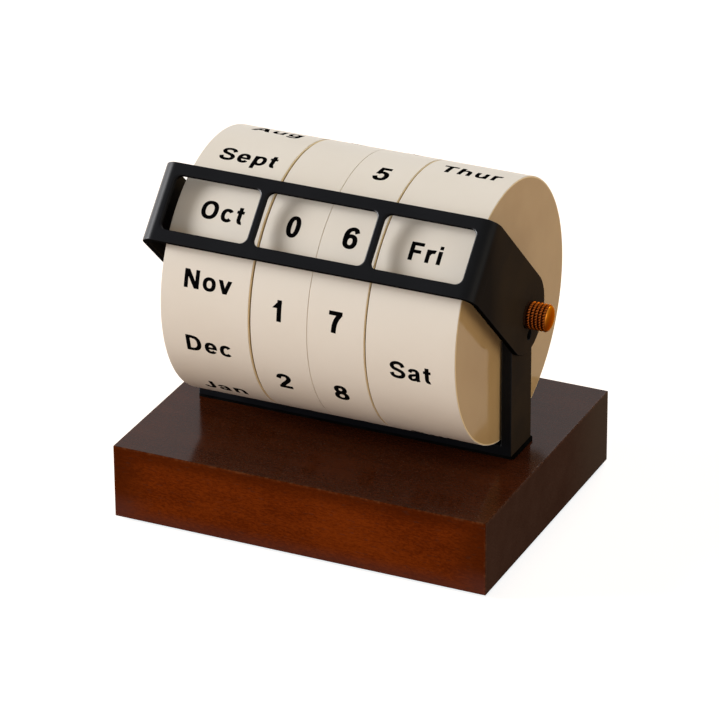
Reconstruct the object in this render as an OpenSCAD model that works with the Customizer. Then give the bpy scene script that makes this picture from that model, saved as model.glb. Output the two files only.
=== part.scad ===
/* Rotary perpetual calendar: four lettered drums that turn on one axle, read through
   a three-window frame. A bracket on a wooden block carries the axle.
   X runs along the axle, Y points back, Z is up. The origin is under the middle of the base. */

/* [Base] */
// Width of the wooden block
base_w = 120.5; // [100:0.5:160]
// Depth of the wooden block
base_d = 93.5; // [70:0.5:130]
// Height of the wooden block
base_h = 23.5; // [12:0.5:40]
// Rounding of the block's edges
base_edge = 0.5; // [0.4:0.1:3]
// Thickness of the felt under the block
felt_t = 1; // [0.5:0.1:3]
// Distance from the block's sides to the felt
felt_inset = 3; // [1:0.5:10]
// Corner radius of the felt
felt_r = 3; // [0.5:0.5:8]

/* [Bracket] */
// Width of the flat bar, front to back
bar_w = 15; // [10:0.5:24]
// Thickness of the flat bar
bar_t = 3.3; // [1.5:0.1:5]
// Thickness of the pad under the bracket
pad_t = 1; // [0.4:0.1:2]
// How far the pad shows beyond the bracket's two ends
pad_edge = 0.6; // [0:0.1:2]
// How far the pad is set back behind the bar
pad_back = 0.6; // [0:0.1:2]
// Corner radius of the pad
pad_r = 1; // [0.5:0.1:3]
// Gap between the bracket's strap and the drums
strap_gap = 0.5; // [0.4:0.1:6]

/* [Bracket screws] */
// Distance between the two screws
screw_gap = 60; // [30:1:80]
// Diameter of the screw's shank
screw_d = 4; // [3:0.5:6]
// Diameter of the screw's head
screw_head_d = 8; // [7:0.5:12]
// Height of the screw's head
screw_head_h = 2.6; // [1.6:0.1:4]
// Width of the slot in the head
slot_w = 1.2; // [0.8:0.1:2]
// Depth of the slot in the head
slot_h = 1.2; // [0.6:0.1:1.5]
// Depth of the head below the block's underside
screw_recess = 1.4; // [0.5:0.1:4]
// Clearance round the shank and the head
screw_clear = 0.3; // [0.1:0.05:1]

/* [Drums] */
// Outer diameter of a drum
drum_d = 79.6; // [60:0.2:110]
// Width of the weekday drum
wide_drum_w = 28.1; // [20:0.1:40]
// How much wider the month drum is than the weekday drum
month_more = 0.6; // [0:0.1:3]
// Width of the two date drums
narrow_drum_w = 18; // [12:0.1:30]
// Thickness of the drum's rim wall
drum_wall = 2; // [1.2:0.1:4]
// Thickness of the drum's web
web_t = 1.8; // [1.2:0.1:4]
// Thickness of the drum's end cap
cap_t = 1.6; // [1:0.1:3]
// Depth of the cap's locating ring
spigot_h = 3; // [1.5:0.1:5]
// Clearance round the locating ring
spigot_fit = 0.05; // [0.02:0.01:0.2]
// Rounding of the drum's edges
rim_r = 0.15; // [0.1:0.05:1]
// Wall of the hub round the axle
hub_wall = 3; // [1.5:0.1:6]
// Number of ribs inside a drum
ribs = 6; // [3:1:12]
// Thickness of a rib
rib_t = 1.4; // [0.8:0.1:3]

/* [Labels] */
// Thickness of the printed band
label_t = 0.2; // [0.1:0.05:0.6]
// Glue gap under the printed band
label_glue = 0.02; // [0.01:0.01:0.1]
// Bare drum on each side of the band
label_inset = 0.1; // [0.1:0.05:2]

/* [Axle] */
// Diameter of the axle
axle_d = 8; // [6:0.5:12]
// Shoulder where the axle steps down to its threaded ends
axle_shoulder = 1.5; // [0.8:0.1:2.5]
// Chamfer of the threaded ends
stub_chamfer = 0.4; // [0.2:0.1:0.8]
// Running clearance between axle and drum hubs
axle_fit = 0.05; // [0.02:0.01:0.1]
// Clearance of the threaded ends in bracket and frame
stub_fit = 0.05; // [0.02:0.01:0.2]

/* [Washers] */
// Thickness of the washers beside the drums
washer_t = 0.2; // [0.1:0.05:1]
// Width of the washers' rim
washer_rim = 3; // [1.5:0.1:6]
// Thickness of the spacer at the left end
spacer_t = 1.1; // [0.5:0.1:5]
// Side play at the spacer
spacer_play = 0.3; // [0.1:0.1:1]
// Side play between month and tens
month_play = 0.3; // [0.1:0.05:1]
// Side play between tens and units
tens_play = 0.1; // [0.1:0.05:1]
// Side play between units and weekday
units_play = 0.25; // [0.1:0.05:1]
// Side play between weekday and bracket
weekday_play = 0.35; // [0.1:0.05:1]

/* [Window frame] */
// Thickness of the sheet
sheet_t = 1.9; // [1:0.1:3]
// Inner radius of the two bends
bend_in = 3; // [0.5:0.1:4]
// Gap between the printed bands and the plate
plate_gap = 2.4; // [0.4:0.02:4]
// Angle of the reading line above the front horizon
reading_angle = 44.2; // [30:0.1:60]
// Height of the windows along the slope
window_h = 17.1; // [10:0.1:24]
// Bar above and below the windows
window_bar = 3.8; // [2:0.1:8]
// Bar between two windows
mullion_w = 2.1; // [1.5:0.1:5]
// How far each of those bars stands outside its seam
mullion_out = 0.2; // [-1:0.1:1]
// Flat left between the weekday window and its bend
side_flat = 0.1; // [0.05:0.05:4]
// How much more flat is left beside the month window
flat_more = 0.8; // [0:0.1:3]
// Corner radius of the windows
window_r = 2.2; // [0.5:0.1:4]
// Sideways shift of the windows on the plate
window_shift = -0.2; // [-1.5:0.1:1.5]
// Upward shift of the windows on the plate
window_rise = 0.1; // [-1:0.1:1]

/* [Locating pins] */
// Diameter of a pin
pin_d = 2.7; // [1.5:0.1:4]
// Clearance round a pin
pin_fit = 0.03; // [0.01:0.01:0.1]
// Metal left between the axle's hole and the pin's hole
pin_web = 3.07; // [2:0.01:8]
// Metal left between the pin's hole and the ear's round end
ear_edge = 3.97; // [1.5:0.01:6]
// How far the pins sit behind the axle
pin_back = 1; // [-3:0.1:3]
// Depth of a pin below the ear's outer face
pin_recess = 0.9; // [0.3:0.1:1.5]

/* [Knobs] */
// Wall of the knob round its thread
knob_wall = 1.62; // [1:0.01:4]
// Clearance between thread and knob
thread_fit = 0.03; // [0.01:0.01:0.1]
// Length of the knurled part
knurl_h = 6; // [3:0.1:12]
// Number of knurled rings
knurl_rings = 5; // [2:1:9]
// Depth of the grooves between the rings
knurl_groove = 0.4; // [0.1:0.05:0.8]
// Chamfer at the knob's outer end
knob_chamfer = 0.9; // [0.3:0.1:1.5]
// Radius of the knob's domed end
dome_r = 14; // [9:0.5:30]
// Depth of thread engaged in the knob
thread_h = 4.6; // [2:0.1:5]
// Free depth beyond the engaged thread
thread_spare = 0.4; // [0.2:0.1:1]
// Thickness of the washer under a knob
knob_washer_t = 0.6; // [0.3:0.1:1.5]
// Rim of that washer beyond the knob
knob_washer_rim = 0; // [0:0.1:2]
// Free gap on each side of that washer
knob_gap = 0.02; // [0.01:0.01:0.1]

/* [Hidden] */
$fn = 96;
// Cutters run this far past the faces that they open
past = 1;
// Solids that are joined reach this far into each other
lap = 0.3;

// Heights
base_top = felt_t + base_h;
strap_z = base_top + pad_t;
drum_r = drum_d / 2;
label_in = drum_r + label_glue;
label_out = label_in + label_t;
axle_z = strap_z + bar_t + strap_gap + label_out;

// Axle, hubs and washers
axle_r = axle_d / 2;
stub_r = axle_r - axle_shoulder;
bore_r = axle_r + axle_fit;
hub_r = bore_r + hub_wall;
stub_hole_r = stub_r + stub_fit;
washer_r = bore_r + washer_rim;

// Room for each washer, and the span between the uprights that follows
month_gap = washer_t + month_play;
tens_gap = washer_t + tens_play;
units_gap = washer_t + units_play;
weekday_gap = washer_t + weekday_play;
spacer_gap = spacer_t + spacer_play;
dates_w = 2 * narrow_drum_w + tens_gap;
month_w = wide_drum_w + month_more;
span = spacer_gap + month_w + wide_drum_w + month_gap + dates_w + units_gap + weekday_gap;
span_x = span / 2;
bracket_x = span_x + bar_t;

// Left face of each drum
month_x = -span_x + spacer_gap;
tens_x = month_x + month_w + month_gap;
units_x = tens_x + narrow_drum_w + tens_gap;
weekday_x = units_x + narrow_drum_w + units_gap;

// Window frame
bend_out = bend_in + sheet_t;
plate_in = label_out + plate_gap;
plate_out = plate_in + sheet_t;
bend_start = plate_out - bend_out;
ear_x = bracket_x + sheet_t;
frame_w = window_h + 2 * window_bar;
mullion_x = (dates_w + (month_gap + units_gap) / 2) / 2 + mullion_out;
window_x = ear_x - bend_out - side_flat;

// Locating pins
pin_r = pin_d / 2;
pin_hole_r = pin_r + pin_fit;
pin_drop = stub_hole_r + pin_web + pin_hole_r;
ear_r = pin_drop + pin_hole_r + ear_edge;

// Knobs
thread_r = stub_r + thread_fit;
knob_r = thread_r + knob_wall;
knob_washer_x = ear_x + knob_gap;
knob_x = knob_washer_x + knob_washer_t + knob_gap;
knob_h = knurl_h + knob_chamfer;
stub_end = knob_x + thread_h;

// Puts a shape that stands on local Z on the axle's line, starting at x and running to the right
module on_axle(x) {
    translate([x, 0, axle_z])
        rotate([0, 90, 0])
            children();
}

// Extrudes a flat outline of the YZ plane to the right of x
module across(x, thickness) {
    translate([x, 0, 0])
        rotate([90, 0, 90])
            linear_extrude(thickness)
                children();
}

// Repeats at both screws
module at_screws() {
    for (side = [-1, 1])
        translate([side * screw_gap / 2, 0, 0])
            children();
}

// Rectangle with round corners, centred
module round_rect(w, h, r) {
    square([w - 2 * r, h], center = true);
    square([w, h - 2 * r], center = true);
    for (sx = [-1, 1], sy = [-1, 1])
        translate([sx * (w / 2 - r), sy * (h / 2 - r)])
            circle(r);
}

// Block with all its edges rounded, standing on z = 0
module round_block(w, d, h, r) {
    intersection() {
        linear_extrude(h)
            round_rect(w, d, r);
        translate([0, d / 2, h / 2])
            rotate([90, 0, 0])
                linear_extrude(d)
                    round_rect(w, h, r);
        translate([-w / 2, 0, h / 2])
            rotate([90, 0, 90])
                linear_extrude(w)
                    round_rect(d, h, r);
    }
}

// Flat ring round local Z
module ring(inner_r, outer_r, thickness) {
    difference() {
        cylinder(r = outer_r, h = thickness);
        translate([0, 0, -past])
            cylinder(r = inner_r, h = thickness + 2 * past);
    }
}

// Holes for the axle's two ends and the two pins, through everything on both sides
module side_holes() {
    on_axle(-ear_x - past)
        cylinder(r = stub_hole_r, h = 2 * (ear_x + past));
    translate([0, pin_back, -pin_drop])
        on_axle(-ear_x - past)
            cylinder(r = pin_hole_r, h = 2 * (ear_x + past));
}

module wood_base() {
    color("saddlebrown")
        difference() {
            translate([0, 0, felt_t])
                round_block(base_w, base_d, base_h, base_edge);
            at_screws() {
                cylinder(r = screw_d / 2 + screw_clear, h = base_top + past);
                cylinder(r = screw_head_d / 2 + screw_clear, h = felt_t + screw_recess + screw_head_h);
            }
        }
}

module base_felt() {
    color("darkslategray")
        linear_extrude(felt_t)
            round_rect(base_w - 2 * felt_inset, base_d - 2 * felt_inset, felt_r);
}

// One upright of the bracket, with a round top on the axle's line
module upright(x) {
    across(x, bar_t) {
        translate([-bar_w / 2, strap_z])
            square([bar_w, axle_z - strap_z]);
        translate([0, axle_z])
            circle(bar_w / 2);
    }
}

module bracket() {
    color("dimgray")
        difference() {
            union() {
                upright(span_x);
                upright(-bracket_x);
                translate([-span_x - lap, -bar_w / 2, strap_z])
                    cube([span + 2 * lap, bar_w, bar_t]);
            }
            side_holes();
            at_screws()
                translate([0, 0, base_top])
                    cylinder(r = screw_d / 2 + thread_fit, h = pad_t + bar_t + past);
        }
}

module bracket_pad() {
    color("black")
        difference() {
            translate([0, pad_back, base_top])
                linear_extrude(pad_t)
                    round_rect(2 * (bracket_x + pad_edge), bar_w, pad_r);
            at_screws()
                translate([0, 0, base_top - past])
                    cylinder(r = screw_d / 2 + screw_clear, h = pad_t + 2 * past);
        }
}

module bracket_screws() {
    head_z = felt_t + screw_recess;
    seat = head_z + screw_head_h;
    color("silver")
        at_screws()
            difference() {
                union() {
                    translate([0, 0, head_z])
                        cylinder(r = screw_head_d / 2, h = screw_head_h);
                    translate([0, 0, seat - lap])
                        cylinder(r = screw_d / 2, h = strap_z + bar_t - seat + lap);
                }
                translate([-screw_head_d / 2 - past, -slot_w / 2, head_z - past])
                    cube([screw_head_d + 2 * past, slot_w, slot_h + past]);
            }
}

// Outline of the plate and its two bends, seen along the slope
module bend_outline(half_w, r) {
    translate([r - half_w, bend_start - past])
        square([2 * (half_w - r), r + past]);
    for (side = [-1, 1])
        translate([side * (half_w - r), bend_start])
            circle(r);
}

// The bent plate, with the reading direction along local Z
module bent_plate() {
    rotate([90, 0, 0])
        linear_extrude(frame_w, center = true)
            intersection() {
                difference() {
                    bend_outline(ear_x, bend_out);
                    bend_outline(bracket_x, bend_in);
                }
                translate([-ear_x - past, bend_start])
                    square([2 * (ear_x + past), bend_out + past]);
            }
}

// One ear: a strip that ends round the axle
module ear(x) {
    across(x, sheet_t) {
        circle(ear_r);
        translate([-frame_w / 2, 0])
            square([frame_w, bend_start]);
    }
}

// Cutter for the window between left and right
module window(left, right) {
    translate([(left + right) / 2 + window_shift, window_rise, plate_in - past])
        linear_extrude(sheet_t + 2 * past)
            round_rect(right - left, window_h, window_r);
}

module window_frame() {
    color("black")
        difference() {
            translate([0, 0, axle_z])
                rotate([90 - reading_angle, 0, 0])
                    difference() {
                        union() {
                            bent_plate();
                            ear(bracket_x);
                            ear(-ear_x);
                        }
                        window(flat_more - window_x, -mullion_x - mullion_w / 2);
                        window(-mullion_x + mullion_w / 2, mullion_x - mullion_w / 2);
                        window(mullion_x + mullion_w / 2, window_x);
                    }
            side_holes();
        }
}

module locating_pins() {
    color("black")
        for (x = [span_x, pin_recess - ear_x])
            translate([0, pin_back, -pin_drop])
                on_axle(x)
                    cylinder(r = pin_r, h = ear_x - pin_recess - span_x);
}

module axle() {
    color("silver")
        on_axle(0)
            rotate_extrude()
                polygon([
                    [0, -stub_end],
                    [stub_r - stub_chamfer, -stub_end],
                    [stub_r, stub_chamfer - stub_end],
                    [stub_r, -span_x],
                    [axle_r, -span_x],
                    [axle_r, span_x],
                    [stub_r, span_x],
                    [stub_r, stub_end - stub_chamfer],
                    [stub_r - stub_chamfer, stub_end],
                    [0, stub_end]
                ]);
}

// Washer in the middle of the room that starts at x
module axle_washer(x, room, thickness) {
    on_axle(x + (room - thickness) / 2)
        ring(bore_r, washer_r, thickness);
}

module left_spacer() {
    color("whitesmoke")
        axle_washer(-span_x, spacer_gap, spacer_t);
}

module month_washer() {
    color("whitesmoke")
        axle_washer(tens_x - month_gap, month_gap, washer_t);
}

module tens_washer() {
    color("whitesmoke")
        axle_washer(units_x - tens_gap, tens_gap, washer_t);
}

module units_washer() {
    color("whitesmoke")
        axle_washer(weekday_x - units_gap, units_gap, washer_t);
}

module weekday_washer() {
    color("whitesmoke")
        axle_washer(span_x - weekday_gap, weekday_gap, washer_t);
}

// Turned outline of a drum's shell: web, rim wall and hub, with the web's edge rounded
module shell_outline(w) {
    difference() {
        translate([bore_r, 0])
            square([drum_r - bore_r, w - cap_t]);
        translate([hub_r, web_t])
            square([drum_r - drum_wall - hub_r, w]);
        translate([drum_r - rim_r, -past])
            square([rim_r + past, rim_r + past]);
    }
    translate([drum_r - rim_r, rim_r])
        circle(rim_r);
}

// Drum shell of width w, open to the right
module drum_shell(x, w) {
    rib_h = w - cap_t - spigot_h - web_t;
    color("tan")
        on_axle(x) {
            rotate_extrude()
                shell_outline(w);
            for (turn = [0 : ribs - 1])
                rotate(turn * 360 / ribs)
                    translate([hub_r - lap, -rib_t / 2, web_t - lap])
                        cube([drum_r - drum_wall - hub_r + 2 * lap, rib_t, rib_h]);
        }
}

// Turned outline of a drum's cap: a full disc with a rounded edge and a locating ring
module cap_outline(w) {
    ring_r = drum_r - drum_wall - spigot_fit;
    difference() {
        translate([bore_r + axle_fit, w - cap_t])
            square([drum_r - bore_r - axle_fit, cap_t]);
        translate([drum_r - rim_r, w - rim_r])
            square(rim_r + past);
    }
    translate([drum_r - rim_r, w - rim_r])
        circle(rim_r);
    translate([ring_r - drum_wall, w - cap_t - spigot_h + lap])
        square([drum_wall, spigot_h]);
}

module drum_cap(x, w) {
    color("tan")
        on_axle(x)
            rotate_extrude()
                cap_outline(w);
}

// Printed band round a drum of width w
module drum_label(x, w) {
    color("antiquewhite")
        on_axle(x + label_inset)
            ring(label_in, label_out, w - 2 * label_inset);
}

module month_drum_shell() drum_shell(month_x, month_w);
module month_drum_cap() drum_cap(month_x, month_w);
module month_label() drum_label(month_x, month_w);
module tens_drum_shell() drum_shell(tens_x, narrow_drum_w);
module tens_drum_cap() drum_cap(tens_x, narrow_drum_w);
module tens_label() drum_label(tens_x, narrow_drum_w);
module units_drum_shell() drum_shell(units_x, narrow_drum_w);
module units_drum_cap() drum_cap(units_x, narrow_drum_w);
module units_label() drum_label(units_x, narrow_drum_w);
module weekday_drum_shell() drum_shell(weekday_x, wide_drum_w);
module weekday_drum_cap() drum_cap(weekday_x, wide_drum_w);
module weekday_label() drum_label(weekday_x, wide_drum_w);

// Turned outline of a knob: knurled rings, a chamfer and a domed end
module knob_outline() {
    pitch = knurl_h / knurl_rings;
    groove_r = knob_r - knurl_groove;
    rings = [
        for (i = [0 : knurl_rings - 1])
            each [
                [groove_r, i * pitch],
                [knob_r, i * pitch + knurl_groove],
                [knob_r, (i + 1) * pitch - knurl_groove]
            ]
    ];
    end = [[groove_r, knurl_h], [groove_r - knob_chamfer, knob_h], [0, knob_h]];
    intersection() {
        polygon(concat([[0, 0]], rings, end));
        translate([0, knob_h - dome_r])
            circle(dome_r);
    }
}

// Knob that stands on local Z with its threaded hole at the bottom
module knob() {
    difference() {
        rotate_extrude()
            knob_outline();
        translate([0, 0, -past])
            cylinder(r = thread_r, h = thread_h + thread_spare + past);
    }
}

module knob_washer() {
    ring(stub_hole_r + stub_fit, knob_r + knob_washer_rim, knob_washer_t);
}

module left_knob_washer() {
    color("black")
        mirror([1, 0, 0])
            on_axle(knob_washer_x)
                knob_washer();
}

module left_knob() {
    color("goldenrod")
        mirror([1, 0, 0])
            on_axle(knob_x)
                knob();
}

module right_knob_washer() {
    color("black")
        on_axle(knob_washer_x)
            knob_washer();
}

module right_knob() {
    color("goldenrod")
        on_axle(knob_x)
            knob();
}

wood_base();
base_felt();
bracket();
bracket_pad();
bracket_screws();
window_frame();
locating_pins();
axle();
left_spacer();
month_washer();
tens_washer();
units_washer();
weekday_washer();
month_drum_shell();
month_drum_cap();
month_label();
tens_drum_shell();
tens_drum_cap();
tens_label();
units_drum_shell();
units_drum_cap();
units_label();
weekday_drum_shell();
weekday_drum_cap();
weekday_label();
left_knob_washer();
left_knob();
right_knob_washer();
right_knob();
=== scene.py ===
"""Looks of a rotary perpetual calendar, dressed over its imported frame.

Four lettered drums turn on one axle between the uprights of a black bracket. A bent black frame
with three windows picks out the date, two brass thumb nuts close the axle's ends, and a lacquered
wooden block carries the lot. All lengths are in metres, in the frame's own axes.
"""

import logging
import math
from dataclasses import dataclass, field, replace
from enum import Enum
from typing import Iterable, Sequence

import bmesh
import bpy
from mathutils import Matrix, Vector
from mathutils.geometry import delaunay_2d_cdt


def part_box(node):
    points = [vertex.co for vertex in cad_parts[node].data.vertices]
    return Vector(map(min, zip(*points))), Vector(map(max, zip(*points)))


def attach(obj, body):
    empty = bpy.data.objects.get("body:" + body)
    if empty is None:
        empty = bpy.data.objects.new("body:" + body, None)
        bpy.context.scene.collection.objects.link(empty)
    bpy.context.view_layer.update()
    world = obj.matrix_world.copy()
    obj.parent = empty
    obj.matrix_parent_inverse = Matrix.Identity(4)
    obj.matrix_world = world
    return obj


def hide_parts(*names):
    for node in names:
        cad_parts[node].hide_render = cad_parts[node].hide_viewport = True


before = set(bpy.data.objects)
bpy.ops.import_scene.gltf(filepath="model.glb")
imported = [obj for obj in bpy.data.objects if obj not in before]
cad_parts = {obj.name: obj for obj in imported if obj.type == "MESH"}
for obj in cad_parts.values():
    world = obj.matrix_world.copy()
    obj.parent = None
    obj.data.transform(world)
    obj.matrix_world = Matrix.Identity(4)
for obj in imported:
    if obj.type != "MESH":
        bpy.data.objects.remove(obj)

LOG = logging.getLogger("calendar")
MM = 0.001
FULL_TURN = 2 * math.pi
MERGE = 0.001 * MM
SLICE_MERGE = 0.0005 * MM
WHITE = (1.0, 1.0, 1.0, 1.0)

Colour = tuple[float, float, float, float]
Point = tuple[float, float]
Span = tuple[float, float]


def rgb(red: float, green: float, blue: float) -> Colour:
    """Returns an opaque linear colour."""
    return (red, green, blue, 1.0)


PIN_BLACK = rgb(0.003, 0.003, 0.003)
WASHER_BROWN = rgb(0.030, 0.013, 0.007)


class Value:
    """A number socket that adds Math nodes as it is used in an expression."""

    def __init__(self, graph: "Graph", socket: bpy.types.NodeSocket) -> None:
        """Wraps one output socket of a graph."""
        self.graph = graph
        self.socket = socket

    def math(self, operation: str, *operands: "Value | float") -> "Value":
        """Adds one Math node.

        Args:
            operation: The Math node's operation.
            operands: All its operands, in order.

        Returns:
            The node's result.
        """
        made = self.graph.node("ShaderNodeMath", {"operation": operation}, dict(enumerate(operands)))
        return Value(self.graph, made.outputs[0])

    def __add__(self, other: "Value | float") -> "Value":
        """Returns self + other."""
        return self.math("ADD", self, other)

    def __radd__(self, other: float) -> "Value":
        """Returns other + self."""
        return self.math("ADD", other, self)

    def __sub__(self, other: "Value | float") -> "Value":
        """Returns self - other."""
        return self.math("SUBTRACT", self, other)

    def __rsub__(self, other: float) -> "Value":
        """Returns other - self."""
        return self.math("SUBTRACT", other, self)

    def __mul__(self, other: "Value | float") -> "Value":
        """Returns self * other."""
        return self.math("MULTIPLY", self, other)

    def __rmul__(self, other: float) -> "Value":
        """Returns other * self."""
        return self.math("MULTIPLY", other, self)

    def __truediv__(self, other: "Value | float") -> "Value":
        """Returns self / other."""
        return self.math("DIVIDE", self, other)

    def __rtruediv__(self, other: float) -> "Value":
        """Returns other / self."""
        return self.math("DIVIDE", other, self)

    def __abs__(self) -> "Value":
        """Returns the absolute value."""
        return self.math("ABSOLUTE", self)

    def low(self, other: "Value | float") -> "Value":
        """Returns the lower of the two."""
        return self.math("MINIMUM", self, other)

    def high(self, other: "Value | float") -> "Value":
        """Returns the higher of the two."""
        return self.math("MAXIMUM", self, other)

    def root(self) -> "Value":
        """Returns the square root."""
        return self.math("SQRT", self)

    def step(self, start: float, stop: float) -> "Value":
        """Maps start to 0 and stop to 1, smoothly and clamped.

        Args:
            start: The value that becomes 0.
            stop: The value that becomes 1.

        Returns:
            The mapped value.
        """
        made = self.graph.node(
            "ShaderNodeMapRange",
            {"interpolation_type": "SMOOTHSTEP"},
            {"Value": self, "From Min": start, "From Max": stop},
        )
        return Value(self.graph, made.outputs["Result"])


@dataclass(frozen=True)
class Grain:
    """The settings of one noise.

    Attributes:
        per_metre: How often the noise repeats in a metre along each axis.
        detail: Its octaves.
        rough: The weight of the fine octaves.
    """

    per_metre: tuple[float, float, float]
    detail: float = 2.0
    rough: float = 0.5

    @classmethod
    def even(cls, per_metre: float, detail: float = 2.0, rough: float = 0.5) -> "Grain":
        """Returns a noise that is the same along all three axes."""
        return cls((per_metre,) * 3, detail, rough)


@dataclass(frozen=True)
class Relief:
    """A bump: what a height of 1 stands for, in metres, and the share of the effect."""

    depth: float
    strength: float


@dataclass(frozen=True)
class Sheen:
    """A roughness that follows a noise: its value where the noise is 0, and what 1 adds."""

    least: float
    more: float

    def over(self, noise: Value) -> Value:
        """Returns the roughness over a noise."""
        return self.least + noise * self.more


class Graph:
    """The node tree of one material or of the world, filled one node at a time."""

    # Places of the colour sockets on a Mix node, whose names repeat
    MIX_FIRST, MIX_SECOND, MIX_RESULT = 6, 7, 2

    def __init__(self, tree: bpy.types.NodeTree) -> None:
        """Empties the tree that it fills."""
        self.tree = tree
        tree.nodes.clear()

    def node(self, kind: str, settings: dict | None = None, sockets: dict | None = None) -> bpy.types.Node:
        """Adds a node: its settings first, then the values or links of its sockets.

        Args:
            kind: The node's type.
            settings: Its attributes by name.
            sockets: Numbers, colours, sockets or Values, by the input's name or place.

        Returns:
            The new node.
        """
        made = self.tree.nodes.new(kind)
        for name, setting in (settings or {}).items():
            setattr(made, name, setting)
        for name, given in (sockets or {}).items():
            plug = given.socket if isinstance(given, Value) else given
            if isinstance(plug, bpy.types.NodeSocket):
                self.tree.links.new(plug, made.inputs[name])
            else:
                made.inputs[name].default_value = plug
        return made

    def coordinates(self) -> bpy.types.NodeSocket:
        """Returns the piece's own coordinates, in metres."""
        return self.node("ShaderNodeTexCoord").outputs["Object"]

    def split(self, vector: bpy.types.NodeSocket) -> tuple[Value, Value, Value]:
        """Returns a vector's three parts."""
        parts = self.node("ShaderNodeSeparateXYZ", None, {"Vector": vector}).outputs
        return tuple(Value(self, part) for part in parts)

    def noise(self, grain: Grain) -> Value:
        """Adds a noise on the piece's own coordinates.

        Args:
            grain: The noise's settings.

        Returns:
            The noise, about 0.5.
        """
        mapping = self.node(
            "ShaderNodeMapping", None, {"Vector": self.coordinates(), "Scale": grain.per_metre}
        )
        made = self.node(
            "ShaderNodeTexNoise",
            None,
            {"Vector": mapping.outputs[0], "Scale": 1.0, "Detail": grain.detail, "Roughness": grain.rough},
        )
        return Value(self, made.outputs["Fac"])

    def mix(self, share: Value, first: object, second: object) -> bpy.types.NodeSocket:
        """Blends two colours.

        Args:
            share: 0 gives the first colour, and 1 the second.
            first: A colour or a colour socket.
            second: A colour or a colour socket.

        Returns:
            The blended colour.
        """
        made = self.node(
            "ShaderNodeMix",
            {"data_type": "RGBA"},
            {"Factor": share, self.MIX_FIRST: first, self.MIX_SECOND: second},
        )
        return made.outputs[self.MIX_RESULT]

    def bump(self, height: Value, relief: Relief) -> bpy.types.NodeSocket:
        """Returns a normal that follows a height.

        Args:
            height: The height, from 0 to 1.
            relief: The bump's depth and strength.

        Returns:
            The bumped normal.
        """
        made = self.node(
            "ShaderNodeBump",
            None,
            {"Height": height, "Distance": relief.depth, "Strength": relief.strength},
        )
        return made.outputs[0]

    def principled(self, sockets: dict) -> None:
        """Ends a material in a Principled surface with these sockets."""
        surface = self.node("ShaderNodeBsdfPrincipled", None, sockets)
        self.node("ShaderNodeOutputMaterial", None, {"Surface": surface.outputs[0]})


@dataclass(frozen=True)
class Finish:
    """A surface finish: one procedural material, made on first use."""

    name: str

    def shade(self, graph: Graph) -> None:
        """Fills the material's nodes."""
        raise NotImplementedError

    def material(self) -> bpy.types.Material:
        """Returns the finish's material."""
        found = bpy.data.materials.get(self.name)
        if found is None:
            found = bpy.data.materials.new(self.name)
            found.use_nodes = True
            self.shade(Graph(found.node_tree))
        return found


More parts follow.
